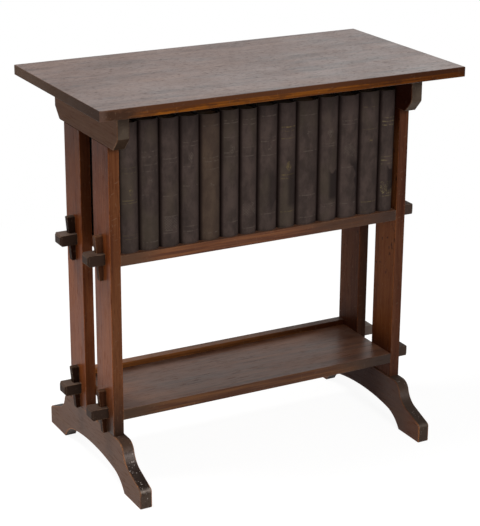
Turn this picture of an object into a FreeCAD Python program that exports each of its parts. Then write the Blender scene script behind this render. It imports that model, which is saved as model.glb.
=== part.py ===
import FreeCAD, Part
import os
from math import acos, atan, atan2, cos, hypot, pi, radians, sin, tan

from FreeCAD import Vector

# An oak book stand that knocks down flat. Each end is a trestle: two uprights between a
# shaped foot and a cleat. Two shelves tie the ends. Their long tenons pass through the
# uprights, and a tapered key through each tenon draws the joint tight. A matching set of
# books stands on the upper shelf.
# Frame: X along the stand, Y to the back, Z up, origin on the floor under the middle.
# Lengths are millimetres and angles are degrees.

# Top board
top_width = 660.4
top_depth = 350.0
top_thickness = 17.0
top_ease = 1.2
top_end_overhang = 49.9
stand_height = 666.4

# Uprights
post_thickness = 18.6
post_width = 63.4
post_gap = 50.6
post_ease = 0.9

# Feet and cleats, cut from one thicker stock and flush with the uprights outside
end_stock = 21.0
end_bevel = 1.0
foot_height = 88.5
foot_half_length = 190.0
foot_top_half_length = 104.0
foot_shoulder_radius = 20.6
foot_hollow_radius = 35.6
foot_shoulder_turn = 75.0
toe_height = 32.8
toe_round = 7.0
toe_floor_round = 2.5
arch_height = 36.5
arch_half_span = 126.0
arch_crown_half_width = 85.0
arch_crown_rise = 8.0
cleat_height = 66.4
cleat_half_length = 125.4
cleat_corner_length = 18.0
cleat_corner_height = 19.7

# Stub tenons of the uprights in the foot and the cleat
stub_length = 28.0
stub_thickness = 8.4
stub_width = 46.0
joint_fit = 0.1
mortise_relief = 1.0

# Shelves and the strips along their back edges
lower_shelf_top = 133.0
headroom_over_books = 32.3
shelf_thickness = 18.5
shelf_ease = 0.9
rail_height = 9.6
rail_thickness = 16.5

# Through tenons of the shelves
tenon_width = 26.0
tenon_reach = 30.5
tenon_end_bevel = 3.0

# Tapered keys
key_thickness = 9.4
key_head_width = 14.0
key_point_width = 7.0
key_above_tenon = 29.0
key_below_tenon = 30.0
key_end_bevel = 1.4
key_side_fit = 0.3
key_slot_set_back = 3.0

# Round-head screws that hold the top to the cleats
screw_length = 30.0
screw_shank_radius = 2.3
screw_head_radius = 4.6
screw_head_height = 3.2
screw_crown_radius = 2.6
screw_grip = 18.0
screw_pocket_fit = 0.7
screw_fit = 0.1
screw_spread = 97.5

# Books
book_height = 215.0
book_depth = 150.0
book_set_back = 3.7
book_gap = 0.6
board_thickness = 2.6
cover_thickness = 1.4
spine_round = 8.0
spine_corner_radius = 4.0
hollow_back = 0.8
hinge_from_spine = 15.0
hinge_width = 7.0
hinge_depth = 1.1
page_square = 3.2
fore_edge_hollow = 5.0
book_width_shares = (0.96, 0.99, 0.98, 0.97, 1.04, 0.94, 0.90, 1.05, 0.95, 1.16, 1.05, 1.10, 1.10, 0.84)
book_height_shares = (1.000, 1.005, 0.998, 0.994, 0.988, 0.999, 0.989, 0.996, 0.998, 0.994, 1.001, 0.993, 1.002, 0.995)

# One overrun takes every cut clear through its piece
overrun = 2.0

# Sizes that follow from the ones above
post_outer_x = top_width / 2 - top_end_overhang
post_inner_x = post_outer_x - post_thickness
post_mid_x = (post_outer_x + post_inner_x) / 2
end_inner_x = post_outer_x - end_stock
end_mid_x = (post_outer_x + end_inner_x) / 2
post_inner_y = post_gap / 2
post_outer_y = post_inner_y + post_width
post_mid_y = (post_inner_y + post_outer_y) / 2
top_underside = stand_height - top_thickness
cleat_bottom = top_underside - cleat_height
upper_shelf_top = top_underside - headroom_over_books - book_height
key_length = key_above_tenon + shelf_thickness + key_below_tenon
key_taper = (key_head_width - key_point_width) / key_length

parts_folder = "parts"


def block(x_range, y_range, z_range):
    """A rectangular block between two planes on each axis."""
    sizes = [high - low for low, high in (x_range, y_range, z_range)]
    return Part.makeBox(*sizes, Vector(x_range[0], y_range[0], z_range[0]))


def centred(middle, width):
    """The two ends of a width that is centred on a middle."""
    return (middle - width / 2, middle + width / 2)


def line(start, end):
    return Part.LineSegment(start, end).toShape()


def arc(start, middle, end):
    return Part.Arc(start, middle, end).toShape()


def polygon(points):
    """Straight edges round a closed outline."""
    return [line(start, end) for start, end in zip(points, points[1:] + points[:1])]


def prism(edges, direction):
    """The solid that a closed outline sweeps along a direction."""
    return Part.Face(Part.Wire(edges)).extrude(direction)


def eased(solid, radius, chosen):
    """Round the edges that a test picks by their bounding box."""
    edges = [edge for edge in solid.Edges if chosen(edge.BoundBox)]
    return solid.makeFillet(radius, edges)


def bevelled(solid, size, chosen):
    """Chamfer the edges that a test picks by their bounding box."""
    edges = [edge for edge in solid.Edges if chosen(edge.BoundBox)]
    return solid.makeChamfer(size, edges)


def mirrored_x(solid):
    return solid.mirror(Vector(0, 0, 0), Vector(1, 0, 0))


def on_side(solid, side):
    """A piece drawn for the right end, put at the end that is asked for."""
    return solid if side > 0 else mirrored_x(solid)


def runs_up(box):
    """True of an edge that is upright."""
    return box.ZLength > max(box.XLength, box.YLength)


def runs_along(box):
    """True of an edge that lies along the stand."""
    return box.XLength > max(box.YLength, box.ZLength)


# Top

def screw_places():
    """Each screw's place in plan: one near each end of each cleat."""
    return [(side * end_mid_x, end * screw_spread) for side in (-1, 1) for end in (-1, 1)]


def screw_holes(radius, bottom, top):
    """Upright round cuts, one at every screw."""
    holes = [Part.makeCylinder(radius, top - bottom, Vector(x, y, bottom)) for x, y in screw_places()]
    return Part.makeCompound(holes)


def make_top_board():
    board = block(centred(0, top_width), centred(0, top_depth), (top_underside, stand_height))
    board = eased(board, top_ease, lambda box: box.ZLength < top_ease)
    tip = top_underside - screw_grip + screw_length
    return board.cut(screw_holes(screw_shank_radius + screw_fit, top_underside - overrun, tip + screw_fit))


def make_screw(x, y):
    """A plain shanked screw, head down, with its seat at the bottom of the pocket."""
    seat = top_underside - screw_grip
    outline = [(0, seat - screw_head_height), (screw_crown_radius, seat - screw_head_height),
               (screw_head_radius, seat), (screw_shank_radius, seat),
               (screw_shank_radius, seat + screw_length), (0, seat + screw_length)]
    section = Part.Face(Part.Wire(polygon([Vector(radius, 0, z) for radius, z in outline])))
    screw = section.revolve(Vector(0, 0, 0), Vector(0, 0, 1), 360)
    screw.translate(Vector(x, y, 0))
    return screw


def make_top_screws():
    return Part.makeCompound([make_screw(x, y) for x, y in screw_places()])


# Trestle ends

def stub_mortises(bottom, top):
    """Blind mortises for the stub tenons of the two uprights of the right end."""
    thickness = stub_thickness + 2 * joint_fit
    width = stub_width + 2 * joint_fit
    cuts = [block(centred(post_mid_x, thickness), centred(side * post_mid_y, width), (bottom, top))
            for side in (-1, 1)]
    return Part.makeCompound(cuts)


def make_cleat(side):
    low_half_length = cleat_half_length - cleat_corner_length
    corner_top = cleat_bottom + cleat_corner_height
    outline = [(-cleat_half_length, top_underside), (-cleat_half_length, corner_top),
               (-low_half_length, cleat_bottom), (low_half_length, cleat_bottom),
               (cleat_half_length, corner_top), (cleat_half_length, top_underside)]
    cleat = prism(polygon([Vector(end_inner_x, y, z) for y, z in outline]), Vector(end_stock, 0, 0))
    cleat = bevelled(cleat, end_bevel, lambda box: box.ZMin < top_underside - end_bevel)
    cleat = cleat.cut(stub_mortises(cleat_bottom - overrun, cleat_bottom + stub_length + mortise_relief))
    seat = top_underside - screw_grip
    cleat = cleat.cut(screw_holes(screw_head_radius + screw_pocket_fit, cleat_bottom - overrun, seat))
    cleat = cleat.cut(screw_holes(screw_shank_radius + screw_fit, cleat_bottom, top_underside + overrun))
    return on_side(cleat, side)


def touch_point(centre, radius, tip):
    """Where a line from a tip below touches the underside of a circle in the YZ plane."""
    across = tip[0] - centre[0]
    up = tip[1] - centre[1]
    angle = atan2(up, across) - acos(radius / hypot(across, up))
    return angle, (centre[0] + radius * cos(angle), centre[1] + radius * sin(angle))


def rounded_corner(before, corner, after, radius):
    """A straight run up to a corner and the arc that rounds it, as items of an outline."""
    before, corner, after = Vector(*before), Vector(*corner), Vector(*after)
    back = (before - corner).normalize()
    on = (after - corner).normalize()
    half_angle = back.getAngle(on) / 2
    inward = (back + on).normalize()
    start = corner + back * (radius / tan(half_angle))
    middle = corner + inward * (radius / sin(half_angle) - radius)
    end = corner + on * (radius / tan(half_angle))
    return [(None, (start.x, start.y)), ((middle.x, middle.y), (end.x, end.y))]


def toe_outline():
    """The foot's upper edge over one toe, from the flat top out to the floor.

    A rounded shoulder runs into a hollow, and the hollow into the straight slope of the toe.
    Each item is the middle point of an arc, or None for a straight run, and its end point.
    """
    turn = radians(foot_shoulder_turn)
    shoulder = (foot_top_half_length, foot_height - foot_shoulder_radius)
    hollow = (shoulder[0] + (foot_shoulder_radius + foot_hollow_radius) * sin(turn),
              shoulder[1] + (foot_shoulder_radius + foot_hollow_radius) * cos(turn))
    tip = (foot_half_length, toe_height)
    end_angle, hollow_end = touch_point(hollow, foot_hollow_radius, tip)
    start_angle = -pi / 2 - turn
    mid_angle = (start_angle + end_angle) / 2
    shoulder_mid = (shoulder[0] + foot_shoulder_radius * sin(turn / 2),
                    shoulder[1] + foot_shoulder_radius * cos(turn / 2))
    shoulder_end = (shoulder[0] + foot_shoulder_radius * sin(turn),
                    shoulder[1] + foot_shoulder_radius * cos(turn))
    hollow_mid = (hollow[0] + foot_hollow_radius * cos(mid_angle),
                  hollow[1] + foot_hollow_radius * sin(mid_angle))
    floor_end = (foot_half_length, 0)
    floor_inner = (arch_half_span, 0)
    outline = [(shoulder_mid, shoulder_end), (hollow_mid, hollow_end)]
    outline += rounded_corner(hollow_end, tip, floor_end, toe_round)
    outline += rounded_corner(tip, floor_end, floor_inner, toe_floor_round)
    return outline + [(None, floor_inner)]


def haunch_middle():
    """The middle point of the arc that runs from the floor into the crown of the arch."""
    run = arch_half_span - arch_crown_half_width
    rise = arch_height - arch_crown_rise
    crown_slope = 2 * atan(arch_crown_rise / arch_crown_half_width)
    bend = atan2(rise, run) - crown_slope
    bulge = hypot(run, rise) / 2 * tan(bend / 2)
    chord_angle = atan2(rise, run)
    return (arch_crown_half_width + run / 2 + bulge * sin(chord_angle), rise / 2 + bulge * cos(chord_angle))


def make_foot(side):
    x = end_inner_x
    here = {1: (foot_top_half_length, foot_height), -1: (-foot_top_half_length, foot_height)}
    springing = arch_height - arch_crown_rise
    edges = [line(Vector(x, *here[-1]), Vector(x, *here[1]))]
    for end in (1, -1):
        path = toe_outline() + [(haunch_middle(), (arch_crown_half_width, springing))]
        for middle, point in path:
            start = Vector(x, *here[end])
            finish = Vector(x, end * point[0], point[1])
            if middle is None:
                edges.append(line(start, finish))
            else:
                edges.append(arc(start, Vector(x, end * middle[0], middle[1]), finish))
            here[end] = (finish.y, finish.z)
    edges.append(arc(Vector(x, *here[-1]), Vector(x, 0, arch_height), Vector(x, *here[1])))
    foot = prism(Part.__sortEdges__(edges), Vector(end_stock, 0, 0))
    foot = bevelled(foot, end_bevel, lambda box: box.XLength < end_stock / 2)
    foot = foot.cut(stub_mortises(foot_height - stub_length - mortise_relief, foot_height + overrun))
    return on_side(foot, side)


def make_post(side, end):
    """An upright with a stub tenon at each end and a through mortise for each shelf."""
    y_mid = end * post_mid_y
    post = block((post_inner_x, post_outer_x), centred(y_mid, post_width), (foot_height, cleat_bottom))
    post = eased(post, post_ease, runs_up)
    stub = block(centred(post_mid_x, stub_thickness), centred(y_mid, stub_width),
                 (foot_height - stub_length, cleat_bottom + stub_length))
    post = post.fuse(stub)
    for shelf_top in (upper_shelf_top, lower_shelf_top):
        post = post.cut(block((post_inner_x - overrun, post_outer_x + overrun),
                              centred(y_mid, tenon_width + 2 * joint_fit),
                              (shelf_top - shelf_thickness - joint_fit, shelf_top + joint_fit)))
    return on_side(post, side)


# Shelves

def key_outline(bottom, top, shelf_top, back):
    """A key's tapered side outline between two heights, from a back plane to its sloping face."""
    point_z = shelf_top - shelf_thickness - key_below_tenon
    width = {z: key_point_width + key_taper * (z - point_z) for z in (bottom, top)}
    return [(back, bottom), (post_outer_x + width[bottom], bottom),
            (post_outer_x + width[top], top), (back, top)]


def key_slot(shelf_top, y_mid):
    """The tapered mortise for a key. It starts inside the upright, so that the key pulls."""
    outline = key_outline(shelf_top - shelf_thickness - overrun, shelf_top + overrun, shelf_top,
                          post_outer_x - key_slot_set_back)
    thickness = key_thickness + 2 * key_side_fit
    points = [Vector(x, y_mid - thickness / 2, z) for x, z in outline]
    return prism(polygon(points), Vector(0, thickness, 0))


def make_shelf_tenon(shelf_top, y_mid):
    """One through tenon of the right end, bevelled round its end and slotted for its key."""
    tip = post_outer_x + tenon_reach
    tenon = block((post_inner_x, tip), centred(y_mid, tenon_width), (shelf_top - shelf_thickness, shelf_top))
    tenon = bevelled(tenon, tenon_end_bevel, lambda box: box.XMin > tip - tenon_end_bevel)
    return tenon.cut(key_slot(shelf_top, y_mid))


def make_shelf(shelf_top):
    shelf = block(centred(0, 2 * post_inner_x), centred(0, 2 * post_outer_y),
                  (shelf_top - shelf_thickness, shelf_top))
    shelf = eased(shelf, shelf_ease, runs_along)
    tenons = [make_shelf_tenon(shelf_top, end * post_mid_y) for end in (-1, 1)]
    return shelf.multiFuse(tenons + [mirrored_x(tenon) for tenon in tenons]).removeSplitter()


def make_back_rail(shelf_top):
    """The strip that stops the books at the shelf's back edge."""
    rail = block(centred(0, 2 * post_inner_x), (post_outer_y - rail_thickness, post_outer_y),
                 (shelf_top, shelf_top + rail_height))
    return eased(rail, shelf_ease, lambda box: runs_along(box) and box.ZMin > shelf_top)


def make_key(shelf_top, side, end):
    """A wedge that stands through its tenon, flat face to the upright."""
    bottom = shelf_top - shelf_thickness - key_below_tenon
    outline = key_outline(bottom, bottom + key_length, shelf_top, post_outer_x)
    points = [Vector(x, end * post_mid_y - key_thickness / 2, z) for x, z in outline]
    key = prism(polygon(points), Vector(0, key_thickness, 0))
    key = bevelled(key, key_end_bevel, lambda box: box.ZLength < key_end_bevel)
    return on_side(key, side)


# Books

def book_places():
    """The middle and the width of each book, side by side between the two cleats."""
    row = 2 * end_inner_x - book_gap
    unit = row / sum(book_width_shares)
    left = -row / 2
    places = []
    for share in book_width_shares:
        places.append((left + unit * share / 2, unit * share - book_gap))
        left += unit * share
    return places


def cover_outline(width, z):
    """Corners of half a case in plan: the spine's corner, the hinge groove and the fore edge."""
    half = width / 2
    front = -post_outer_y + book_set_back
    back = front + book_depth
    hinge = front + hinge_from_spine
    corner = Vector(half, front + spine_round, z)
    groove = [Vector(half, hinge - hinge_width / 2, z), Vector(half - hinge_depth, hinge, z),
              Vector(half, hinge + hinge_width / 2, z)]
    return corner, groove, Vector(half, back, z)


def flipped(point, middle):
    return Vector(2 * middle - point.x, point.y, point.z)


def case_prism(width, z, height):
    """The closed outer form of a book's case about X = 0."""
    corner, groove, back = cover_outline(width, z)
    spine = Vector(0, corner.y - spine_round, z)
    edges = [arc(flipped(corner, 0), spine, corner)]
    for turn in (lambda point: point, lambda point: flipped(point, 0)):
        edges.append(line(turn(corner), turn(groove[0])))
        edges.append(arc(*[turn(point) for point in groove]))
        edges.append(line(turn(groove[2]), turn(back)))
    edges.append(line(back, flipped(back, 0)))
    form = prism(Part.__sortEdges__(edges), Vector(0, 0, height))
    corners = centred(corner.y, spine_corner_radius / 2)
    return eased(form, spine_corner_radius,
                 lambda box: runs_up(box) and corners[0] < box.YMin and box.YMax < corners[1])


def inner_prism(width, start, end, hollow, z, height):
    """What the case wraps: straight sides, a round back at start, and an edge at end hollowed inwards."""
    half = width / 2 - board_thickness
    back_corner = Vector(half, start + spine_round, z)
    fore_corner = Vector(half, end, z)
    edges = [arc(flipped(back_corner, 0), Vector(0, start, z), back_corner),
             line(back_corner, fore_corner),
             line(flipped(back_corner, 0), flipped(fore_corner, 0))]
    if hollow:
        edges.append(arc(fore_corner, Vector(0, end - hollow, z), flipped(fore_corner, 0)))
    else:
        edges.append(line(fore_corner, flipped(fore_corner, 0)))
    return prism(Part.__sortEdges__(edges), Vector(0, 0, height))


def make_book(place, height_share):
    """A case and its block of pages, which stop short of the boards on three sides."""
    middle, width = place
    height = book_height * height_share
    front = -post_outer_y + book_set_back
    back = front + book_depth
    inside = inner_prism(width, front + cover_thickness, back + overrun, 0,
                         upper_shelf_top - overrun, height + 2 * overrun)
    case = case_prism(width, upper_shelf_top, height).cut(inside)
    pages = inner_prism(width, front + cover_thickness + hollow_back, back - page_square, fore_edge_hollow,
                        upper_shelf_top + page_square, height - 2 * page_square)
    for piece in (case, pages):
        piece.translate(Vector(middle, 0, 0))
    return case, pages


def make_all():
    """Every piece of the stand under its own name."""
    pieces = {"top_board": make_top_board(), "top_screws": make_top_screws()}
    sides = {"left": -1, "right": 1}
    ends = {"front": -1, "rear": 1}
    shelves = {"upper": upper_shelf_top, "lower": lower_shelf_top}
    for side_name, side in sides.items():
        pieces[f"{side_name}_cleat"] = make_cleat(side)
        pieces[f"{side_name}_foot"] = make_foot(side)
        for end_name, end in ends.items():
            pieces[f"{side_name}_{end_name}_post"] = make_post(side, end)
            for shelf_name, shelf_top in shelves.items():
                pieces[f"{shelf_name}_{side_name}_{end_name}_key"] = make_key(shelf_top, side, end)
    for shelf_name, shelf_top in shelves.items():
        pieces[f"{shelf_name}_shelf"] = make_shelf(shelf_top)
        pieces[f"{shelf_name}_back_rail"] = make_back_rail(shelf_top)
    for number, (place, height_share) in enumerate(zip(book_places(), book_height_shares), start=1):
        case, pages = make_book(place, height_share)
        pieces[f"book_{number:02d}_case"] = case
        pieces[f"book_{number:02d}_pages"] = pages
    return pieces


os.makedirs(parts_folder, exist_ok=True)
for name, piece in make_all().items():
    piece.exportStep(f"{parts_folder}/{name}.step")
    print(f"{name}: {len(piece.Solids)} solid, valid {piece.isValid()}, {piece.Volume / 1000:.1f} cm3")
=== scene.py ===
# %% [markdown]
# # An oak book stand that knocks down flat
#
# The real stand is a small library piece in dark fumed oak. Two trestle ends carry a flat top, and two
# shelves tie the ends with long tenons and tapered keys. Fourteen old cloth-bound books fill the upper shelf.
# The shapes come from the construction model, so this lesson is about finish: how wood, cloth, paper and
# steel are made to look right, and how a few fine pieces are added.
#
# We start by loading the fixed frame and baking each piece's place into its mesh, so that boxes can be read
# from it.

# %% Load the frame
from math import atan, cos, pi, radians, sin

import bmesh
import bpy
from mathutils import Matrix, Vector


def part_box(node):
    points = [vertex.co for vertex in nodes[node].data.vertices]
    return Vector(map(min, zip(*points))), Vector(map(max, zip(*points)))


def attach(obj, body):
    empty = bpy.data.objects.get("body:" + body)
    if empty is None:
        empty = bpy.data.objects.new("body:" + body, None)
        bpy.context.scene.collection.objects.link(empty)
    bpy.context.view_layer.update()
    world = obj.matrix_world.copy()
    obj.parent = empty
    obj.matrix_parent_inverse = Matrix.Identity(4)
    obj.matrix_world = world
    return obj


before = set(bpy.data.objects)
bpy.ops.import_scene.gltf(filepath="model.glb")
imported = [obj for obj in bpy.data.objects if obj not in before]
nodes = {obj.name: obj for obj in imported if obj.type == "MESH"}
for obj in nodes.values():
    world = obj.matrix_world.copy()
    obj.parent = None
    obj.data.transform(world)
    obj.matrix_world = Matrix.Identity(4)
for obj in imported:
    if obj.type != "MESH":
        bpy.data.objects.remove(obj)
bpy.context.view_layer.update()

# %% [markdown]
# ## The camera
#
# A photograph of furniture is taken from far off with a long lens, so that uprights stay nearly parallel.
# The camera stands to the left of the front and a little above the top, and it leans a third of a degree.
# It could be pointed with a constraint, but a matrix built from three directions is plain to read and exact.

# %% Set up the camera
camera_turn, camera_drop, camera_lean = radians(28.37), radians(19.54), radians(0.36)
camera_distance = 2.8848
camera_target = Vector((0.0024, 0.0, 0.3191))
focal_in_pixels = 1671.2
long_side_in_pixels = 526.0
sensor_size = 36.0


def new_object(name, data):
    """Puts a camera, a mesh or a lamp into the scene."""
    thing = bpy.data.objects.new(name, data)
    bpy.context.scene.collection.objects.link(thing)
    return thing


level = cos(camera_drop)
forward = Vector((sin(camera_turn) * level, cos(camera_turn) * level, -sin(camera_drop)))
level_right = Vector((cos(camera_turn), -sin(camera_turn), 0.0))
level_up = level_right.cross(forward)
right = cos(camera_lean) * level_right + sin(camera_lean) * level_up
up = cos(camera_lean) * level_up - sin(camera_lean) * level_right

camera = new_object("camera", bpy.data.cameras.new("camera"))
camera.data.sensor_width = sensor_size
camera.data.lens = focal_in_pixels / long_side_in_pixels * sensor_size
camera.matrix_world = Matrix((right, up, -forward)).transposed().to_4x4()
camera.matrix_world.translation = camera_target - camera_distance * forward
bpy.context.scene.camera = camera
print("camera at", [round(v, 3) for v in camera.matrix_world.translation], "lens", round(camera.data.lens, 1))

# %% [markdown]
# ## Short words for shader nodes
#
# Every finish below is a small net of shader nodes. They could be placed by hand in the editor. In a script,
# a few helpers keep a net short enough to read as a recipe: each one adds a node to the net that its inputs
# belong to, joins them and gives back the output that the next step needs. A colour is written as on a paint
# chart, with three numbers from 0 to 255. Four numbers are already as the shader wants them.

# %% Helpers for shader nodes
NUMBER, COLOUR, PLACE = "NodeSocketFloat", "NodeSocketColor", "NodeSocketVector"
WHITE, BLACK = (1.0, 1.0, 1.0, 1.0), (0.0, 0.0, 0.0, 1.0)


def colour(red, green, blue):
    """A paint-chart colour as a shader wants it, in amounts of light."""
    shares = [value / 255 for value in (red, green, blue)]
    light = [share / 12.92 if share <= 0.04045 else ((share + 0.055) / 1.055) ** 2.4 for share in shares]
    return (*light, 1.0)


def feed(node, inputs):
    """Sets a node's inputs, by name or number, to plain values or joins them to other nodes' outputs."""
    for name, value in inputs.items():
        socket = node.inputs[name]
        if isinstance(value, bpy.types.NodeSocket):
            node.id_data.links.new(value, socket)
        elif socket.type == "RGBA" and len(value) == 3:
            socket.default_value = colour(*value)
        else:
            socket.default_value = value


def add_node(near, kind, inputs=None, **settings):
    """Adds a node to the net that another one, or its output, is part of."""
    node = near.id_data.nodes.new(kind)
    for name, value in settings.items():
        setattr(node, name, value)
    feed(node, inputs or {})
    return node


def first_output(values):
    """The first of some values that is a node's output and so knows its net."""
    return next(value for value in values if isinstance(value, bpy.types.NodeSocket))


def maths(operation, *values, kind="ShaderNodeMath"):
    return add_node(first_output(values), kind, dict(enumerate(values)), operation=operation).outputs[0]


def times(first, *others):
    for value in others:
        first = maths("MULTIPLY", first, value)
    return first


def plus(first, *others):
    for value in others:
        first = maths("ADD", first, value)
    return first


def minus(first, second):
    return maths("SUBTRACT", first, second)


def times_plus(value, factor, added):
    return maths("MULTIPLY_ADD", value, factor, added)


def larger(first, second):
    return maths("MAXIMUM", first, second)


def unsigned(value):
    return maths("ABSOLUTE", value)


def vector_maths(operation, *values):
    return maths(operation, *values, kind="ShaderNodeVectorMath")


def apart(vector):
    """The three numbers of a vector: X to the right, Y to the rear and Z up."""
    return add_node(vector, "ShaderNodeSeparateXYZ", {0: vector}).outputs


def x_of(vector):
    return apart(vector)["X"]


def y_of(vector):
    return apart(vector)["Y"]


def z_of(vector):
    return apart(vector)["Z"]


def between(value, low, high, at_low=0.0, at_high=1.0, kind="SMOOTHSTEP"):
    """A smooth step: at_low below low, at_high above high."""
    inputs = {"Value": value, "From Min": low, "From Max": high, "To Min": at_low, "To Max": at_high}
    return add_node(value, "ShaderNodeMapRange", inputs, interpolation_type=kind).outputs["Result"]


def below(value, low, high):
    """A smooth step down: 1 below low, 0 above high."""
    return between(value, low, high, 1.0, 0.0)


def blend(amount, first, second, kind="MIX"):
    inputs = {0: amount, 6: first, 7: second}
    return add_node(first_output(inputs.values()), "ShaderNodeMix", inputs, data_type="RGBA",
                    blend_type=kind).outputs[2]


def toned(amount, tint, shares):
    """A colour with its red, green and blue multiplied, as a glaze does it."""
    return blend(amount, tint, (*shares, 1.0), "MULTIPLY")


def noise(place, scale, detail=3.0, roughness=0.55, start=(0.0, 0.0, 0.0)):
    """Cloudy noise. A scale of three numbers draws the clouds out along the small ones."""
    if isinstance(scale, tuple):
        place, scale = vector_maths("MULTIPLY_ADD", place, scale, start), 1.0
    inputs = {"Vector": place, "Scale": scale, "Detail": detail, "Roughness": roughness}
    return add_node(place, "ShaderNodeTexNoise", inputs).outputs[0]


def relief(height, strength, distance):
    """Small dents and ridges that catch the light."""
    inputs = {"Height": height, "Strength": strength, "Distance": distance}
    return add_node(height, "ShaderNodeBump", inputs).outputs[0]


def true_face(near):
    """The way a face looks, before any relief."""
    return add_node(near, "ShaderNodeNewGeometry").outputs["True Normal"]


def new_group(name, inputs, outputs):
    """An empty group of nodes, with the name and kind of all that goes in and out. It gives back what comes
    in, and the node that takes the results."""
    group = bpy.data.node_groups.new(name, "ShaderNodeTree")
    for way, sockets in (("INPUT", inputs), ("OUTPUT", outputs)):
        for socket_name, kind in sockets.items():
            group.interface.new_socket(socket_name, in_out=way, socket_type=kind)
    return group.nodes.new("NodeGroupInput").outputs, group.nodes.new("NodeGroupOutput")


def finish_group(result, outputs):
    feed(result, outputs)
    group = result.id_data
    print("group:", group.name, "with", len(group.nodes), "nodes")
    return group


def use_group(group, **inputs):
    return add_node(first_output(inputs.values()), "ShaderNodeGroup", inputs, node_tree=group).outputs


def start_material(name):
    """A new material, its shader, and the place on the object that every pattern starts from."""
    material = bpy.data.materials.new(name)
    material.use_nodes = True
    shader = material.node_tree.nodes["Principled BSDF"]
    return material, shader, add_node(shader, "ShaderNodeTexCoord").outputs["Object"]


def dress(material, *endings):
    """Puts a material on every piece whose name ends in one of these ways."""
    dressed = [name for name in nodes if name.endswith(endings)]
    for name in dressed:
        nodes[name].material_slots[0].material = material
    print(material.name, "on", ", ".join(dressed))


print("helpers ready")

# %% [markdown]
# ## Wood grain
#
# The oak is sawn so that its growth rings meet the face nearly square. Such a face shows fine parallel lines,
# darker open pores drawn out along the grain, and broken pale flecks that lie across it. All three can come
# from noise that is stretched along the grain. A picture of wood would be quicker, but it would repeat and it
# would not run round the edges, where this pattern turns into end grain by itself.

# %% The grain group
def make_grain_group():
    given, result = new_group(
        "oak grain",
        {"Place": PLACE, "Light": COLOUR, "Middle": COLOUR, "Dark": COLOUR, "Fleck": NUMBER, "Cloud": NUMBER},
        {"Color": COLOUR, "Height": NUMBER, "Pores": NUMBER, "Cloud": NUMBER})
    place = given["Place"]
    sway = times(noise(place, (2.2, 7.0, 7.0), 2.0), 0.03)
    sway = add_node(place, "ShaderNodeCombineXYZ", {"Y": sway, "Z": sway}).outputs[0]
    bent = vector_maths("ADD", place, sway)
    lines = noise(bent, (3.5, 210.0, 210.0), 4.0, 0.6)
    bands = noise(bent, (1.6, 34.0, 34.0), 3.0, 0.5)
    pores = between(noise(bent, (38.0, 620.0, 620.0), 2.0, 0.5), 0.57, 0.68)
    flecks = between(noise(bent, (75.0, 26.0, 26.0), 3.0, 0.6, (3.1, 1.7, 5.3)), 0.60, 0.72)
    cloud = noise(place, (5.0, 14.0, 14.0), 4.0, 0.6, (7.7, 2.3, 9.1))
    shade = times(minus(cloud, 0.5), given["Cloud"])
    tone = between(plus(times(lines, 0.55), times(bands, 0.45), shade), 0.32, 0.68)
    body = blend(between(tone, 0.5, 1.0), given["Middle"], given["Light"])
    body = blend(below(tone, 0.0, 0.5), body, given["Dark"])
    body = blend(times(flecks, given["Fleck"]), body, given["Light"])
    body = blend(times(pores, 0.6), body, given["Dark"])
    height = minus(times(lines, 0.5), pores)
    return finish_group(result, {"Color": body, "Height": height, "Pores": pores, "Cloud": cloud})


grain_group = make_grain_group()

# %% [markdown]
# ## Wear along the edges
#
# A century of hands and dusters rubs the dark finish off every arris, so that the lighter wood shows through
# in a thin broken line. The shader finds an arris by comparing the true face with the face it would have if
# its edges were rounded: where the two differ, there is an edge. It could be painted by hand, but this way
# finds every edge by itself. Coarse noise breaks the line into lengths, and fine noise adds pale chips where
# the finish has come off altogether.

# %% The edge wear group
def make_wear_group():
    given, result = new_group(
        "edge wear", {"Place": PLACE, "Reach": NUMBER, "Amount": NUMBER},
        {"Mask": NUMBER, "Soft Mask": NUMBER, "Chips": NUMBER})
    place = given["Place"]
    rounded = add_node(place, "ShaderNodeBevel", {"Radius": given["Reach"]}, samples=6).outputs[0]
    faces = {0: true_face(place), 1: rounded}
    alike = add_node(place, "ShaderNodeVectorMath", faces, operation="DOT_PRODUCT").outputs["Value"]
    edge = below(alike, 0.80, 0.995)
    lengths = noise(place, (17.0, 17.0, 17.0), 2.0, 0.5, (3.0, 1.0, 2.0))
    broken = plus(noise(place, 90.0, 4.0, 0.65), times_plus(given["Amount"], 0.3, lengths))
    rubbed = times(edge, between(broken, 1.06, 1.22))
    chips = between(noise(place, 430.0, 2.0, 0.5), 0.60, 0.67)
    return finish_group(result, {"Mask": rubbed, "Soft Mask": edge, "Chips": times(rubbed, chips)})


wear_group = make_wear_group()

# %% [markdown]
# ## Dust, scratches and stains
#
# Old furniture greys where dust settles and is rubbed in, mostly on faces that look up. It also carries short
# fine scratches and soft blotches. All are masks, so one group gives them to every finish, and each finish
# chooses how much of them it takes.

# %% The age group
def make_age_group():
    given, result = new_group(
        "age", {"Place": PLACE}, {"Dust": NUMBER, "Scratches": NUMBER, "Blotches": NUMBER})
    place = given["Place"]
    upward = z_of(add_node(place, "ShaderNodeNewGeometry").outputs["Normal"])
    dust = times(between(upward, 0.25, 0.95), between(noise(place, 38.0, 5.0, 0.65), 0.25, 0.75))
    scratches = []
    for turn, long, cross in ((0.5, 9.0, 420.0), (2.1, 14.0, 520.0)):
        turned = {"Vector": place, "Angle": turn, "Axis": (0.45, 0.6, 0.66)}
        turned = add_node(place, "ShaderNodeVectorRotate", turned, rotation_type="AXIS_ANGLE").outputs[0]
        scratches.append(between(noise(turned, (long, cross, cross), 0.0), 0.77, 0.80))
    blotches = between(noise(place, 16.0, 4.0, 0.6), 0.45, 0.72)
    return finish_group(result, {"Dust": dust, "Scratches": larger(*scratches), "Blotches": blotches})


age_group = make_age_group()

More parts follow.
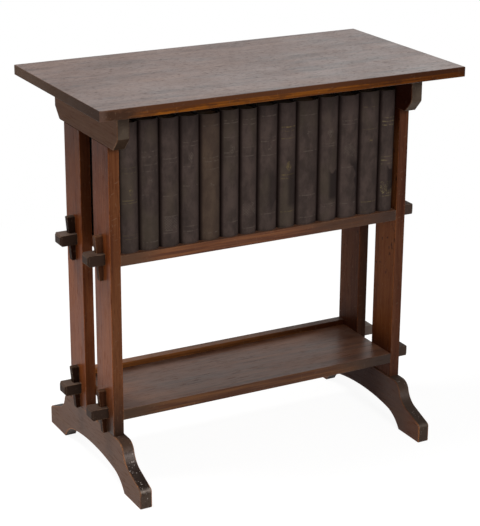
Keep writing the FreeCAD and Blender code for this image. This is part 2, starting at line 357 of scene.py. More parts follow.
# %% [markdown]
# ## The oak finishes
#
# One recipe dresses all the wood. What changes from piece to piece is the way the grain runs, how far the
# fumed colour has faded, and how much wax is left. The top was waxed most and still shines. The wax is a thin
# clear coat over the wood, so it is the coat of the shader, and a mask says where it has been worn away.
# Each piece can also bring its own stages, which change the colour in turn, as a finisher would: first the
# stain, then the dirt, then the rubbing.

# %% The oak recipe
GRAIN_TURNS = {"X": (0.0, 0.0, 0.0), "Y": (0.0, 0.0, radians(90.0)), "Z": (0.0, radians(90.0), 0.0)}
CHIPPED_WOOD = (168, 146, 124)
WAX_ROUGHNESS = 0.32


def oak(name, grain, light, middle, dark, worn, polish, polished=None, sheen=0.03, rough=0.45, fleck=0.0,
        cloud=0.5, wear=0.5, reach=0.002, spared=None, dust=0.4, dust_colour=(96, 88, 80), scratch=0.1,
        shorten=1.0, shift=(0.0, 0.0, 0.0), stages=()):
    """A fumed oak finish. light, middle and dark colour the grain, worn is the bare wood at the edges, polish
    the wax and rough the wood under it. polished gives the share of the wax that is left at a place, and
    spared the share of the edge wear. shift moves the pattern, so that no two pieces are cut alike."""
    material, shader, place = start_material(name)
    scale = [shorten if axis == grain else 1.0 for axis in "XYZ"]
    turned = {"Vector": place, "Location": shift, "Scale": scale, "Rotation": GRAIN_TURNS[grain]}
    along_grain = add_node(place, "ShaderNodeMapping", turned).outputs[0]
    wood = use_group(grain_group, Place=along_grain, Light=light, Middle=middle, Dark=dark, Fleck=fleck,
                     Cloud=cloud)
    edges = use_group(wear_group, Place=place, Reach=reach, Amount=wear)
    age = use_group(age_group, Place=place)
    tint = wood["Color"]
    for stage in stages:
        tint = stage(place, tint)
    tint = blend(times(age["Dust"], dust), tint, dust_colour)
    share = times(spared(place), wear) if spared else wear
    tint = blend(times(edges["Mask"], share), tint, worn)
    tint = blend(times(edges["Chips"], share), tint, CHIPPED_WOOD)
    tint = blend(times(age["Scratches"], scratch), tint, CHIPPED_WOOD)
    dull = plus(times(wood["Cloud"], 0.3), times(age["Dust"], 0.12), times(wood["Pores"], 0.2), rough - 0.15)
    wax = times(between(wood["Cloud"], 0.3, 0.7, 1.15, 0.85), polish)
    if polished:
        wax = times(wax, polished(place))
    wax = times(wax, between(wood["Pores"], 0.0, 1.0, 1.0, 0.4))
    surface = minus(wood["Height"], times(age["Scratches"], 0.8))
    surface = relief(surface, strength=0.35, distance=0.0003)
    feed(shader, {"Base Color": tint, "Roughness": dull, "Coat Weight": wax, "Normal": surface,
                  "Coat Roughness": WAX_ROUGHNESS, "Specular IOR Level": sheen})
    return material


def facing(place, axis):
    """How squarely a face looks along an axis, 0 to 1, whichever way round."""
    return unsigned(apart(true_face(place))[axis])


def square_to(place, axis, if_not=0.0, if_so=1.0):
    return between(facing(place, axis), 0.5, 0.8, if_not, if_so)


def narrow_side(place):
    """The faces of a foot or a cleat that don't look to the left or right."""
    return below(facing(place, "X"), 0.3, 0.7)


def left_to_right(place, at_left=0.0, at_right=1.0):
    """One value for the left end of the stand and another for the right."""
    return between(x_of(place), -0.1, 0.1, at_left, at_right)


def front_to_rear(place, at_front=0.0, at_rear=1.0):
    return between(y_of(place), -0.01, 0.01, at_front, at_rear)


def low_down(place):
    """1 at the lower shelf and 0 at the upper one."""
    return below(z_of(place), 0.2, 0.3)


def sheltered(place):
    """Where a face looks in towards the middle of the stand, away from light and dusters."""
    return below(times(x_of(true_face(place)), x_of(place)), -0.22, -0.12)


def inner_face_shade(*shares):
    """A stage that darkens the faces that look in towards the middle of the stand, as painted shade."""
    def stage(place, tint):
        return toned(sheltered(place), tint, shares)
    return stage


print("oak recipe ready")

# %% [markdown]
# ### The top
#
# From the camera the top is a shallow glancing face, so it mirrors the pale room behind it. That is why the
# same dark wood looks silvery there. The sawn ends are dark, because end grain drinks the stain. The long
# edges kept an orange band low down, where hands and dusters have rubbed them, under a darker upper band.
# The front edge is grimy and chipped at its left corner, and it grows darker towards the right. Cut strips
# of wood could give the bands, but the board is one piece, so they are masks by height with a wandering edge.

# %% Dress the top
top_low, top_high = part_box("top_board")


def top_edge_tone(place, tint):
    """A stage that gives the long edges their bands and grime and darkens the sawn ends."""
    along = x_of(place)
    streaks = noise(place, (7.0, 60.0, 420.0))
    patchy = noise(place, (22.0, 60.0, 90.0), 4.0, 0.65, (0.0, 0.6, 0.3))
    rubbed = blend(between(streaks, 0.35, 0.65), (84, 45, 17), (132, 76, 20))
    rubbed = blend(between(patchy, 0.5, 0.62, 0.0, 0.65), rubbed, (64, 36, 22))
    band = below(times_plus(streaks, 0.006, z_of(place)), top_high.z - 0.0065, top_high.z - 0.0035)
    edge = blend(band, (78, 46, 28), rubbed)
    grimy = blend(between(patchy, 0.44, 0.6), (60, 40, 29), (84, 56, 41))
    grimy = blend(between(along, top_low.x + 0.004, top_low.x + 0.016, 0.7, 0.0), grimy, (92, 71, 62))
    grimy = blend(between(noise(place, 330.0, 3.0, 0.6), 0.66, 0.71), grimy, (128, 104, 86))
    corner = below(times_plus(patchy, 0.12, along), top_low.x + 0.09, top_low.x + 0.17)
    edge = blend(corner, edge, grimy)
    edge = toned(between(along, 0.02, 0.24), edge, (0.54, 0.47, 0.42))
    tint = blend(square_to(place, "Y"), tint, edge)
    end_tone = blend(streaks, (62, 43, 30), (78, 58, 43))
    end_tone = blend(between(y_of(place), top_low.y, top_high.y, 0.95, 0.0), end_tone, (40, 20, 5))
    return blend(square_to(place, "X"), tint, end_tone)


def top_wax(place):
    """Wax is left on the broad faces, most towards the front and the right, where hands and cloths pass."""
    share = times_plus(y_of(place), -1.1, times_plus(x_of(place), 0.6, 0.82))
    return times(share, between(facing(place, "Z"), 0.5, 0.9, 0.02, 1.0))


dress(oak(
    "oak_top", "X", light=(96, 77, 69), middle=(79, 61, 55), dark=(40, 29, 26), worn=(120, 78, 48),
    polish=0.74, polished=top_wax, fleck=0.3, cloud=0.2, wear=0.4, dust=0.12, dust_colour=(112, 98, 92),
    scratch=0.06, shorten=2.6, stages=(top_edge_tone,)), "top_board")

# %% [markdown]
# ### The uprights
#
# The uprights are the reddest pieces, with the grain upright. Four boards from one tree never match, and
# light and hands reach each face differently, so every upright has its own tones, given as shares of red,
# green and blue light: one for the outer face, one for the inner face, one for the narrow edges and one for
# the head. These tones are partly the wood's own and partly painted light and shade, and the head's tone is
# painted shade under the top. Four finishes could be written out, but one stage that takes the tones keeps
# what they share in one place: small dark spots, painted shade in the corners under the top and at the lower
# shelf, and a darker band low down above the feet.

# %% Dress the uprights
post_foot, post_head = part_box("left_foot")[1].z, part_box("left_cleat")[0].z
shelf_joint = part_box("lower_shelf")[1].z
# outer face, inner face, narrow edges, head, and the share of the head's tone that the narrow edges take
# The tones are partly painted light and shade, such as the bright inner face of the right front upright.
UPRIGHTS = {
    "left_front_post": ((1.19, 0.975, 0.62), (0.68, 0.58, 0.54), (0.77, 0.81, 0.87), (0.58, 0.56, 0.78), 0.0),
    "left_rear_post": ((1.19, 0.95, 0.58), (0.68, 0.58, 0.54), (1.18, 1.08, 0.98), (0.51, 0.52, 0.68), 1.0),
    "right_front_post": ((1.05, 0.85, 0.62), (1.20, 1.13, 0.92), (0.58, 0.62, 0.82), (0.82, 0.93, 1.06), 0.1),
    "right_rear_post": ((1.05, 0.85, 0.62), (0.60, 0.62, 0.78), (0.37, 0.38, 0.42), (0.70, 0.65, 0.65), 0.9),
}


def post_wax(place):
    """Wax is left on the outer faces, less of it near the head."""
    open_side = between(sheltered(place), 0.0, 1.0, 1.0, 0.05)
    return times(open_side, square_to(place, "Y", 1.0, 0.2), between(z_of(place), 0.26, 0.46, 1.0, 0.42))


def upright_tone_and_shade(outer, inner, narrow, head, narrow_head):
    """A stage for one upright: its tones with painted light and shade, its spots and a darker low band."""
    def stage(place, tint):
        height, inward = z_of(place), sheltered(place)
        own = blend(inward, (*outer, 1.0), (*inner, 1.0))
        own = blend(square_to(place, "Y"), own, (*narrow, 1.0))
        tint = blend(1.0, tint, own, "MULTIPLY")
        # The head is darkened as painted shade under the top.
        high = between(times_plus(noise(place, 9.0), 0.16, height), 0.36, 0.66)
        tint = toned(times(high, square_to(place, "Y", 1.0, narrow_head)), tint, head)
        spots = between(noise(place, (110.0, 110.0, 80.0), 2.0, start=(1.0, 4.0, 2.0)), 0.65, 0.69)
        tint = blend(times(spots, between(height, 0.20, 0.30), inward, 0.75), tint, (40, 20, 12))
        # Painted shade in the inner corners under the cleats and just above the lower shelf.
        corner = larger(below(height, shelf_joint, shelf_joint + 0.06),
                        between(height, post_head - 0.05, post_head - 0.01))
        tint = toned(times(corner, inward), tint, (0.44, 0.32, 0.22))
        # Darker towards the feet, more at the left end and at the front.
        low_darkening = below(times_plus(noise(place, 30.0), 0.03, height), 0.10, 0.22)
        low_darkening = times(low_darkening, left_to_right(place, 0.95, 0.3), front_to_rear(place, 1.0, 0.5))
        return blend(low_darkening, tint, (48, 33, 25))
    return stage


def away_from_joints(place):
    """Edges keep their finish where one piece is fitted to the next."""
    height = z_of(place)
    return times(between(height, post_foot + 0.002, post_foot + 0.006),
                 below(height, post_head - 0.006, post_head - 0.002))


# The wide bright orange line along the arrises is partly bare wood and partly a painted highlight.
for name, tones in UPRIGHTS.items():
    dress(oak("oak_" + name, "Z", light=(112, 66, 38), middle=(101, 56, 31), dark=(80, 41, 22),
              worn=(190, 106, 48), polish=0.265, polished=post_wax, cloud=0.6,
              wear=0.8 if name.startswith("left") else 0.45, reach=0.0026, spared=away_from_joints, dust=0.15,
              stages=(upright_tone_and_shade(*tones),)), name)

# %% [markdown]
# ### Feet and cleats
#
# Feet and cleats are cut from one thicker board. From the front a foot's tone changes with height. The toe
# is brown. A pale line above it is a painted highlight along its upper edge. The slope behind that edge is
# black, the hollow higher up is pale, partly dust and partly a painted reflection, and the shoulder is brown
# again. Each could be a face with its own finish, but a colour ramp over the height needs no cuts, and a
# little noise keeps its borders from being straight. The inner faces lie in the dark under the lower shelf,
# so they are painted darker there as shade and paler out at the toe as light. The cleats' inner faces are
# painted nearly black as shade, and the left cleat's bevels and lower faces are painted darker too. A cleat
# has no rubbed line where it meets the uprights, because their outer faces were planed flush together.

# %% Dress the feet and cleats
TOE_TOP = 0.034
# Tones by height for a foot's narrow faces. The pale stops from 0.0316 to 0.0338 are a painted highlight on
# the toe's upper edge, and the pale hollow from 0.061 to 0.075 is partly dust and partly a painted
# reflection.
FOOT_EDGE = {0.000: (68, 56, 48), 0.0308: (68, 56, 48), 0.0316: (150, 138, 130), 0.0338: (150, 138, 130),
             0.0346: (26, 17, 13), 0.047: (26, 16, 11), 0.056: (44, 35, 32), 0.061: (86, 75, 70),
             0.068: (108, 98, 94), 0.075: (86, 70, 62), 0.080: (58, 42, 33), 0.088: (58, 42, 33)}


def foot_edge_tone(place, tint):
    """A stage for a foot's narrow faces, by height, with a painted highlight and a painted reflection."""
    wobble = times_plus(noise(place, 60.0, 4.0, 0.65), 0.006, -0.003)
    ramp = add_node(place, "ShaderNodeValToRGB", {0: plus(z_of(place), wobble)})
    stops = ramp.color_ramp.elements
    stops.remove(stops[1])
    stops[0].color = colour(*FOOT_EDGE[0.0])
    for height, tone in FOOT_EDGE.items():
        stops.new(height).color = colour(*tone)
    spots = between(noise(place, 150.0, 4.0, 0.7), 0.5, 0.62, 0.0, 0.5)
    narrow = blend(spots, ramp.outputs[0], (40, 30, 25))
    narrow = blend(left_to_right(place, 0.0, 0.6), narrow, (64, 50, 41))
    specks = times(between(noise(place, 300.0, 2.0, 0.6), 0.62, 0.68, 0.0, 0.85),
                   between(noise(place, 48.0, 2.0), 0.46, 0.58))
    return blend(narrow_side(place), tint, blend(specks, narrow, (158, 148, 142)))


def under_shelf(place):
    """How far a place on a foot's inner face lies in the dark under the lower shelf."""
    return times(below(unsigned(y_of(place)), 0.02, 0.13), sheltered(place))


def foot_inner_shade_and_light(place, tint):
    """A stage for a foot's inner face: painted shade under the shelf and painted light out at the toe."""
    tint = toned(under_shelf(place), tint, (0.34, 0.22, 0.18))
    toe = times(between(unsigned(y_of(place)), 0.13, 0.17), sheltered(place))
    return toned(toe, tint, (1.5, 1.35, 1.2))


def foot_wax(place):
    """A little old wax is left, least of it on the narrow faces and under the shelf."""
    return times(between(facing(place, "X"), 0.3, 0.7, 0.5, 1.0),
                 between(under_shelf(place), 0.0, 1.0, 1.0, 0.2))


def toe_edges(place):
    """A foot's edges are rubbed through at the toe. Higher up they only have short bare lengths."""
    lengths = between(noise(place, 22.0, 2.0), 0.5, 0.6, 0.15, 0.7)
    return larger(below(z_of(place), TOE_TOP, TOE_TOP + 0.006), lengths)


def narrow_tone(tone, other_tone):
    """A stage for a piece sawn to shape: every face but the two broad ones takes a dark, patchy tone. At the
    left end the bevels and the faces that look down are darker still."""
    def stage(place, tint):
        narrow = blend(between(noise(place, 45.0, 4.0, 0.6), 0.42, 0.62), tone, other_tone)
        # At the left end, painted shade on the bevels and the faces that look down.
        downward_shade = times(between(facing(place, "Z"), 0.2, 0.4), left_to_right(place, 1.0, 0.0))
        return blend(narrow_side(place), tint, toned(downward_shade, narrow, (0.52, 0.42, 0.35)))
    return stage


def open_cleat_edges(place):
    """The cleat's lower edge is rubbed only where it stands free of the uprights."""
    height = z_of(place)
    free = between(unsigned(y_of(place)), 0.094, 0.100)
    low = between(height, post_head + 0.003, post_head + 0.006)
    return times(larger(free, low), between(height, top_low.z - 0.003, top_low.z - 0.0005, 1.0, 0.35))


# The feet take painted shade on their inner faces and a painted highlight and reflection at the front.
dress(oak("oak_foot", "Y", light=(92, 65, 48), middle=(89, 61, 46), dark=(84, 57, 42), worn=(214, 136, 78),
          polish=0.18, polished=foot_wax, rough=0.5, cloud=0.7, wear=0.95, reach=0.0036, spared=toe_edges,
          dust=0.06, dust_colour=(120, 110, 104), scratch=0.05, shift=(0.3, 0.1, 0.2),
          stages=(foot_edge_tone, inner_face_shade(0.86, 0.70, 0.60), foot_inner_shade_and_light)), "_foot")
# The cleats' inner faces are painted nearly black as shade.
dress(oak("oak_cleat", "Y", light=(101, 72, 55), middle=(94, 65, 48), dark=(84, 57, 42),
          worn=(172, 144, 118), polish=0.0, sheen=0.02, cloud=0.4, wear=0.6, spared=open_cleat_edges,
          scratch=0.06, shift=(0.7, 0.4, 0.1),
          stages=(narrow_tone((66, 55, 47), (76, 65, 56)), inner_face_shade(0.24, 0.12, 0.11))), "_cleat")

# %% [markdown]
# ### Shelves, tenons and keys
#
# The shelves' faces are browner and duller than the top. Along the back strip and in the right rear corner
# they are darker, partly dirt where a cloth can't reach and partly painted shade. Where their tenons come out
# through the uprights, more than a century of air and handling has turned them nearly black, and most of the
# keys as well. Three keys stayed brown. The lower right rear tenon is paler, with a painted highlight on its
# top. A tenon is one piece with its shelf, so the change of tone is a mask that starts at the uprights. The
# strips at the back go from orange at one end to nearly black at the other.

# %% Dress the shelves and keys
tenon_start, shelf_end = 0.2800, 0.2625  # just short of the uprights' outer face, just past their inner one
strip_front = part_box("lower_back_rail")[0].y
low_shelf, high_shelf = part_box("lower_shelf")[0].z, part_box("upper_shelf")[0].z


def shelf_edge_tone(place, tint):
    """A stage for the long edges: redder wood, dirty towards the uprights."""
    along, height = x_of(place), z_of(place)
    streaks = noise(place, (7.0, 60.0, 260.0), start=(0.4, 0.0, 1.1))
    patches = noise(place, (9.0, 20.0, 30.0), start=(2.6, 0.0, 0.0))
    edge = blend(between(streaks, 0.35, 0.65), (80, 44, 27), (114, 70, 41))
    start = times_plus(patches, 0.16, times_plus(height, 0.3, along))
    edge = blend(between(start, 0.24, 0.30, 0.0, 0.7), edge, (62, 44, 33))
    dirty = between(times_plus(streaks, 0.09, unsigned(along)), shelf_end - 0.040, shelf_end + 0.03)
    edge = blend(times(dirty, 0.8), edge, blend(left_to_right(place), (74, 53, 40), (54, 37, 30)))
    edge = toned(low_down(place), edge, (0.76, 0.86, 0.92))
    return blend(square_to(place, "Y"), tint, edge)


def corner_dirt_and_shade(place):
    """Dirt a cloth can't reach, and painted shade: along the back strip and in the corner by the right rear
    upright.
    """
    depth = y_of(place)
    along_strip = between(depth, strip_front - 0.030, strip_front - 0.002, 0.0, 0.85)
    corner = between(depth, strip_front - 0.10, strip_front - 0.03)
    corner = times(between(x_of(place), 0.12, 0.25), corner)
    return times(larger(along_strip, corner), square_to(place, "Z"))


def shelf_dirt_and_shade_tone(place, tint):
    # Dirt and painted shade along the back strip and in the right rear corner.
    return toned(corner_dirt_and_shade(place), tint, (0.30, 0.24, 0.20))


def past_uprights(place, on_shelf=0.0, on_tenon=1.0):
    """One value for the shelf between the uprights and another for the tenons outside them."""
    return between(unsigned(x_of(place)), tenon_start - 0.0006, tenon_start + 0.0006, on_shelf, on_tenon)


def tenon_tone(place, tint):
    """A stage that darkens a shelf past the outer face of the uprights, with a painted highlight on one
    tenon.
    """
    right_end = left_to_right(place)
    low_rear = times(low_down(place), front_to_rear(place), right_end)
    tone = blend(right_end, (46, 34, 28), (66, 53, 47))
    tone = blend(low_rear, tone, (116, 103, 96))
    tone = blend(times(square_to(place, "Z"), front_to_rear(place, 0.12, 0.4)), tone, (92, 78, 68))
    # Painted highlight on the top of the lower right rear tenon.
    tone = blend(times(low_rear, square_to(place, "Z")), tone, (160, 150, 142))
    return blend(times(past_uprights(place), 0.94), tint, tone)


def shelf_wax(place):
    """The open boards are waxed. The tenons outside the uprights have lost it."""
    return times(past_uprights(place, 1.0, 0.04), between(x_of(place), -0.27, -0.18, 0.6, 1.0),
                 between(corner_dirt_and_shade(place), 0.0, 1.0, 1.0, 0.25),
                 between(facing(place, "Z"), 0.5, 0.9, 0.5, 1.0))


def rail_tone(place, tint):
    """A stage for the strips: orange at the left, nearly black at the right."""
    along = x_of(place)
    tone = blend(between(along, -shelf_end, 0.0), (2.15, 1.80, 0.85, 1.0), (0.98, 0.84, 0.44, 1.0))
    dark = blend(between(along, -0.03, 0.22), WHITE, (0.20, 0.13, 0.10, 1.0))
    return blend(1.0, blend(1.0, tint, tone, "MULTIPLY"), dark, "MULTIPLY")


def key_end_tone(place, tint):
    """A stage for the keys' lower ends, under each shelf, all of one dark brown."""
    height = z_of(place)
    under_upper = below(height, high_shelf - 0.002, high_shelf)
    under_upper = times(under_upper, between(height, 0.2, 0.25, 0.0, 0.5))
    under_lower = between(height, low_shelf - 0.002, low_shelf, 0.95, 0.0)
    return blend(larger(under_upper, under_lower), tint, (44, 22, 12))


BROWN_KEYS = ("upper_left_front_key", "lower_left_front_key", "upper_right_rear_key")
SHELF_OAK = {"light": (116, 77, 54), "middle": (102, 65, 45), "dark": (76, 47, 32), "fleck": 0.15,
             "reach": 0.0018, "scratch": 0.06, "shift": (1.3, 0.9, 0.2), "dust": 0.3}
KEY_OAK = {"stages": (key_end_tone,), "polish": 0.0, "sheen": 0.02, "wear": 0.6, "dust": 0.25,
           "dust_colour": (92, 80, 68), "shift": (0.2, 1.9, 0.6)}
dress(oak("oak_shelf", "X", worn=(142, 112, 88), polish=0.5, polished=shelf_wax, dust_colour=(100, 84, 76),
          stages=(shelf_edge_tone, shelf_dirt_and_shade_tone, tenon_tone), **SHELF_OAK), "_shelf")
dress(oak("oak_rail", "X", worn=(150, 96, 48), polish=0.2, dust_colour=(120, 104, 96), stages=(rail_tone,),
          **SHELF_OAK), "_rail")
dress(oak("oak_key_black", "Z", light=(46, 29, 22), middle=(36, 22, 16), dark=(26, 14, 9),
          worn=(104, 80, 62), **KEY_OAK), "_key")
dress(oak("oak_key_brown", "Z", light=(84, 54, 37), middle=(68, 41, 27), dark=(50, 26, 14),
          worn=(132, 92, 62), **KEY_OAK), *BROWN_KEYS)

# %% [markdown]
# ## The books
#
# The bindings are plain dark cloth over boards. A weave too fine to see from afar still dulls the light, so
# it is relief and not colour: two sets of ridges at right angles, like the threads of a real cloth.

# %% The book cloth group
THREAD_PITCH = 0.0007


def ridges(distance, pitch):
    """Even ridges at a given pitch, as threads lie."""
    return maths("SINE", times(distance, 2 * pi / pitch))


def make_cloth_group():
    given, result = new_group("book cloth", {"Place": PLACE}, {"Weave": NUMBER, "Fade": NUMBER})
    place = given["Place"]
    across = plus(x_of(place), y_of(place))
    weave = larger(ridges(across, THREAD_PITCH), ridges(z_of(place), THREAD_PITCH))
    return finish_group(result, {"Weave": weave, "Fade": noise(place, (55.0, 55.0, 32.0), 5.0, 0.68)})


cloth_group = make_cloth_group()

# %% [markdown]
# ### Small tools
#
# A binder presses ornaments into the cloth with small brass tools: a lozenge, a square lattice, a flower.
# They are plain traditional shapes. One group draws all three about a centre, in millimetres, and each book
# says which one it bears and how high up.

# %% The tooling group
def make_tooling_group():
    given, result = new_group("tooling", {"Across": NUMBER, "Up": NUMBER},
                              {"Lozenge": NUMBER, "Lattice": NUMBER, "Flower": NUMBER})
    across, up_it = given["Across"], given["Up"]
    reach = plus(unsigned(across), times(unsigned(up_it), 0.6))
    border = below(unsigned(minus(reach, 5.2)), 0.4, 0.8)
    lozenge = larger(border, below(reach, 3.0, 3.4))
    lines = []
    for slope in (1.0, -1.0):
        run = times_plus(up_it, slope, across)
        lines.append(below(unsigned(minus(maths("FLOORED_MODULO", run, 4.4), 2.2)), 0.4, 0.8))
    inside = below(larger(unsigned(across), unsigned(up_it)), 11.2, 11.8)
    around = times(maths("ARCTAN2", up_it, across), 3.0)
    petals = times_plus(unsigned(maths("COSINE", around)), 3.4, 1.4)
    out = maths("SQRT", plus(times(across, across), times(up_it, up_it)))
    flower = times(below(minus(out, petals), -0.3, 0.3), between(out, 1.2, 1.8))
    lattice = times(larger(*lines), inside)
    return finish_group(result, {"Lozenge": lozenge, "Lattice": lattice, "Flower": flower})


tooling_group = make_tooling_group()

# %% [markdown]
# ### Fourteen bindings from one recipe
#
# Old blind and gilt rules run across each spine. They could be thin solid bands, but they are only pressed or
# rubbed leaf, so a ramp along the book's height draws them and noise wears them away. Each book gets its own
# rules and faint rules, given as shares of its height, its own small tool and the leaf that fills them.
# Book five is a browner cloth. The later books carry dark stains low on one side, as if something was once
# spilt along the row. The joints beside each spine are nearly black, partly old dirt and partly painted
# shade between the books. Each spine also has painted shade at its top, under the top board, and towards
# its right side.

# %% Bind the books
GILT, PALE_GILT, DULL_GILT, BLIND = (118, 102, 58), (136, 122, 88), (96, 84, 58), (84, 74, 68)
GREY_CLOTH, BROWN_CLOTH = ((72, 60, 56), (51, 42, 39)), ((76, 62, 52), (62, 49, 42))
BINDINGS = {
    1: {"rules": (0.41, 0.39), "faint": (0.66, 0.62, 0.14, 0.11), "tool": ("Lozenge", 0.49),
        "leaf": DULL_GILT},
    2: {"rules": (0.76, 0.72, 0.66, 0.61, 0.43, 0.06), "tool": ("Flower", 0.53)},
    3: {"rules": (0.69, 0.66, 0.40, 0.24, 0.13, 0.11), "tool": ("Lattice", 0.19)},
    4: {"rules": (0.80, 0.77, 0.61, 0.46, 0.14, 0.10), "tool": ("Lozenge", 0.68)},
    5: {"rules": (0.91, 0.66, 0.63, 0.57, 0.06), "tool": ("Flower", 0.44), "cloth": BROWN_CLOTH},
    6: {"rules": (0.92, 0.90, 0.79, 0.67, 0.64, 0.12), "tool": ("Lozenge", 0.70)},
    7: {"rules": (0.92, 0.88, 0.70, 0.63, 0.05), "tool": ("Lattice", 0.20)},
    8: {"rules": (0.92, 0.75, 0.72, 0.61, 0.14), "tool": ("Flower", 0.67), "stain": 0.8},
    9: {"rules": (0.81, 0.43), "faint": (0.78, 0.72, 0.40, 0.13), "tool": ("Lozenge", 0.50), "leaf": GILT,
        "stain": 1.0},
    10: {"rules": (0.89, 0.60, 0.24, 0.06), "tool": ("Flower", 0.74), "stain": 0.4},
    11: {"rules": (0.63, 0.61, 0.14, 0.12), "tool": ("Lozenge", 0.72), "stain": 1.2},
    12: {"rules": (0.80, 0.77, 0.42, 0.12), "tool": ("Lattice", 0.56), "stain": 1.2},
    13: {"rules": (0.105,), "faint": (0.88, 0.70, 0.02), "tool": ("Flower", 0.62), "leaf": DULL_GILT,
         "stain": 1.0},
    14: {"rules": (0.75, 0.72, 0.43), "faint": (0.78, 0.46, 0.40, 0.13), "tool": ("Lattice", 0.20),
         "leaf": PALE_GILT, "stain": 1.2},
}
RULE_HALF, RULE_EDGE = 0.0026, 1.7 * 0.0026
SPINE_DEPTH = 0.0070
TOOL_DEPTH, STAIN_DEPTH = 6.0, 0.75


def ruled_ramp(up_spine, rules, faint):
    """A ramp that is white at each rule, grey at each faint one and black between them."""
    node = add_node(up_spine, "ShaderNodeValToRGB", {0: up_spine})
    stops = node.color_ramp.elements
    stops[0].color = stops[1].color = BLACK
    for height in rules + faint:
        full = 0.4 if height in faint else 1.0
        for step, value in ((-RULE_EDGE, 0.0), (-RULE_HALF, full), (RULE_HALF, full), (RULE_EDGE, 0.0)):
            stops.new(height + step).color = (value, value, value, 1.0)
    return node.outputs[0]


def spill(place, up_spine, across, strength):
    """Where an old spill stained the cloth."""
    blots = between(noise(place, (26.0, 26.0, 17.0), 2.0, 0.4, (2.0, 1.0, 4.2)), 0.44, 0.48)
    window = times(between(up_spine, 0.14, 0.2), below(up_spine, 0.42, 0.5))
    return times(times(blots, between(across, -0.3, 0.2)), window, strength)


def bind(number, rules, tool, leaf=BLIND, faint=(), stain=0.0, cloth=GREY_CLOTH):
    case = nodes[f"book_{number:02d}_case"]
    low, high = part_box(case.name)
    light, dark = cloth
    tool_kind, tool_height = tool
    material, shader, place = start_material(f"book_cloth_{number:02d}")
    moved = vector_maths("ADD", place, (0.7 * number, 0.3 * number, 0.0))
    woven = use_group(cloth_group, Place=moved)
    edges = use_group(wear_group, Place=moved, Reach=0.0016, Amount=0.4)
    age = use_group(age_group, Place=moved)
    up_spine = between(z_of(place), low.z, high.z, kind="LINEAR")
    across = between(x_of(place), low.x, high.x, -1.0, 1.0, kind="LINEAR")
    from_middle = unsigned(across)
    on_spine = below(y_of(place), low.y + SPINE_DEPTH, low.y + SPINE_DEPTH + 0.0015)
    tint = blend(between(woven["Fade"], 0.32, 0.68), dark, light)
    tint = blend(times(age["Blotches"], 0.2), tint, dark)
    sallow = noise(moved, (16.0, 16.0, 9.0), 2.0)
    tint = blend(between(sallow, 0.52, 0.68, 0.0, 0.5), tint, (68, 59, 49))
    # Painted shade at the top of the spine, under the top board.
    tint = blend(between(up_spine, 0.72, 1.0, 0.0, 0.3), tint, (44, 34, 34))
    # Painted shade towards the right side of the spine.
    tint = blend(between(across, -0.1, 0.95, 0.0, 0.4), tint, (38, 30, 28))
    millimetres = times(across, 500.0 * (high.x - low.x))
    above = times(minus(up_spine, tool_height), 1000.0 * (high.z - low.z))
    tooled = use_group(tooling_group, Across=millimetres, Up=above)[tool_kind]
    ruled = times(ruled_ramp(up_spine, rules, faint), below(from_middle, 0.72, 0.78))
    rubbed = between(noise(moved, 170.0, 3.0, 0.6), 0.40, 0.60)
    pressed = times(larger(ruled, tooled), on_spine)
    tint = blend(times(pressed, rubbed, 0.7), tint, leaf)
    if stain:
        tint = blend(spill(place, up_spine, across, stain * STAIN_DEPTH), tint, (32, 25, 24))
    # Dark joints beside the spine: partly dirt, partly painted shade between the books.
    tint = blend(between(from_middle, 0.70, 0.96, 0.0, 0.9), tint, (22, 11, 9))
    # Pale edges: partly rubbed cloth, partly a painted highlight.
    tint = blend(times(edges["Soft Mask"], 0.3), tint, (104, 90, 80))
    feed(shader, {"Base Color": tint, "Roughness": between(woven["Fade"], 0.2, 0.8, 0.62, 0.82),
                  "Normal": relief(times_plus(pressed, -TOOL_DEPTH, woven["Weave"]), 0.25, 0.0001),
                  "Specular IOR Level": 0.08})
    dress(material, case.name)


for number, design in BINDINGS.items():
    bind(number, **design)

# %% [markdown]
# ### Headbands
#
# At the head and tail of the spine a bound book has a small roll of striped thread, sewn to the pages and
# tucked behind the cover. It shows when a book is drawn out. It is a short tube that follows the round of the
# back. A thick curve could make it, but rings of points joined in turn give the mesh that is exported.

# %% Sew the headbands
STRIPE_PITCH, SILK_PITCH = 0.0016, 0.0004


def make_headband_material():
    material, shader, place = start_material("headband_thread")
    stripes, threads = (ridges(x_of(place), pitch) for pitch in (STRIPE_PITCH, SILK_PITCH))
    soiled = noise(place, 300.0, 3.0, 0.6)
    tint = blend(between(stripes, -0.2, 0.2), (112, 46, 36), (176, 160, 126))
    tint = blend(between(soiled, 0.4, 0.7, 0.1, 0.7), tint, (84, 68, 52))
    feed(shader, {"Base Color": tint, "Roughness": between(soiled, 0.3, 0.7, 0.6, 0.85),
                  "Normal": relief(threads, 0.5, 0.0002)})
    return material


